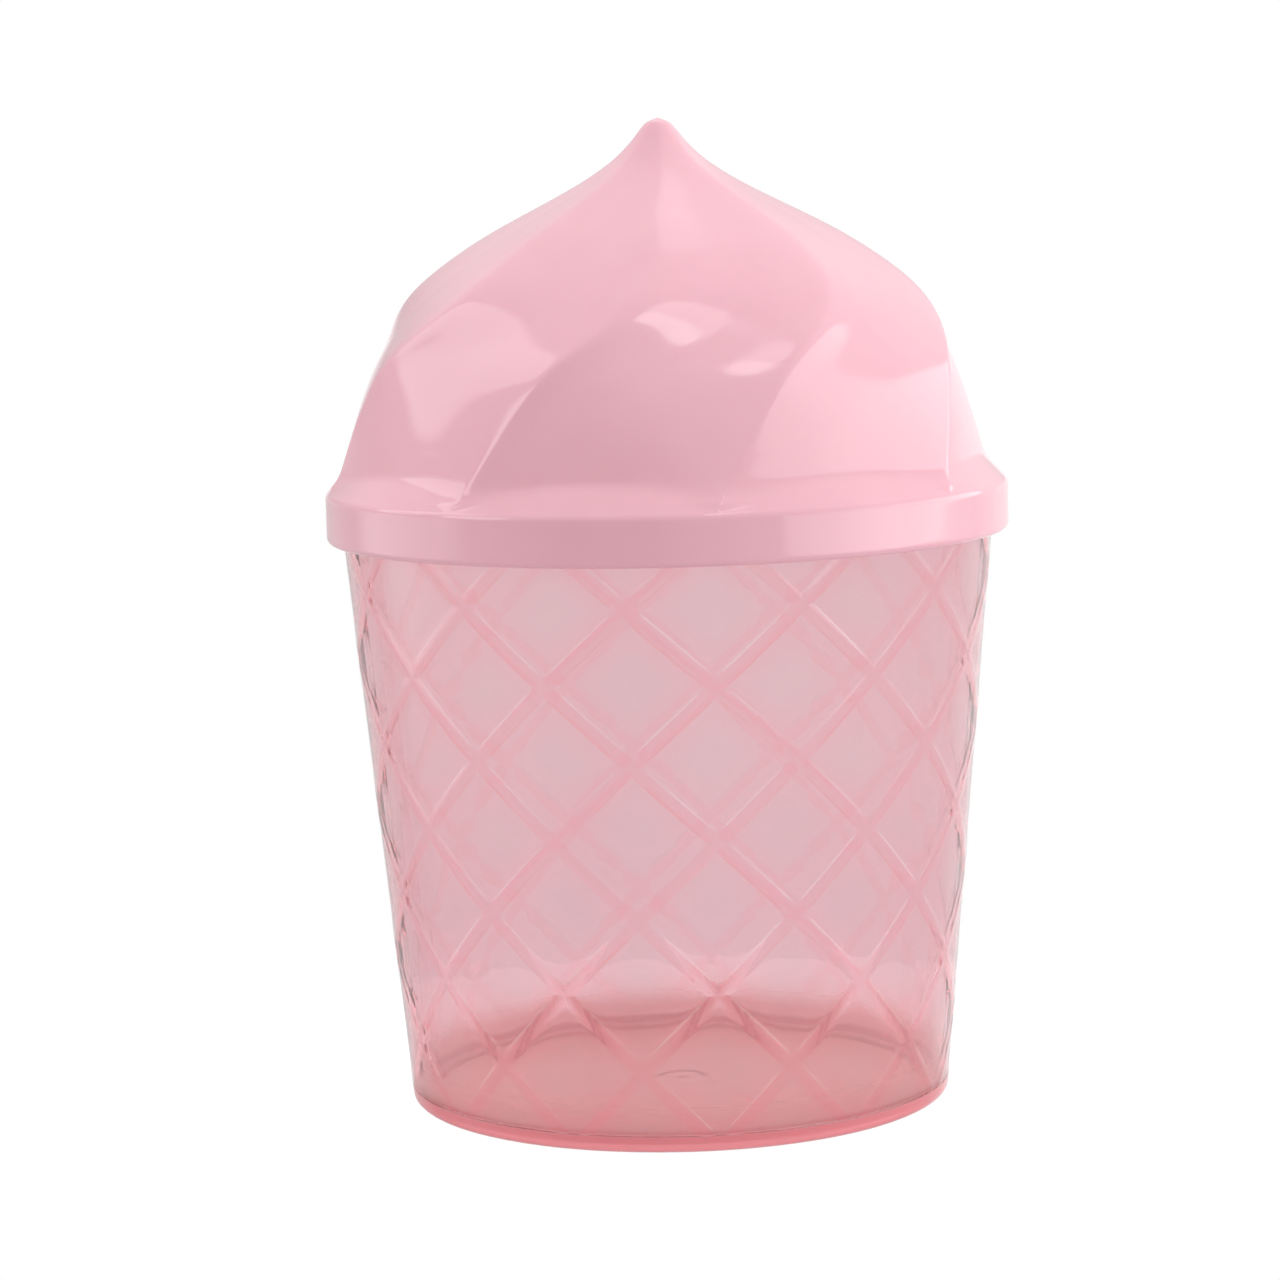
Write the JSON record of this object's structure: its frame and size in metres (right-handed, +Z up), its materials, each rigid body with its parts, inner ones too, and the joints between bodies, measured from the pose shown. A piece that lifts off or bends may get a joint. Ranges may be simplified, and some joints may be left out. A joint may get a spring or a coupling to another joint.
{
  "type": "lidded storage tub",
  "caption": "Tapered see-through plastic tub with a raised diagonal waffle lattice and a push-on lid shaped as a twisted soft-serve swirl, for keeping small things.",
  "frame": {"origin": "centre of the tub's base, on the surface it stands on", "axes": "+Z up along the tub's axis, -Y towards the viewer of the picture, +X to the viewer's right"},
  "size_m": [0.125, 0.125, 0.18],
  "materials": {
    "clear_pink_plastic": "clear tinted moulded plastic, glossy, faintly hazy",
    "pale_pink_plastic": "glossy moulded plastic, nearly opaque"
  },
  "bodies": {
    "tub": {"tub": "clear_pink_plastic"},
    "lid": {"swirl_lid": "pale_pink_plastic"}
  },
  "joints": [
    {"name": "lid_lift", "type": "slide", "parent": "tub", "child": "lid", "axis": [0, 0, 1], "range_m": [0, 0.13]}
  ]
}
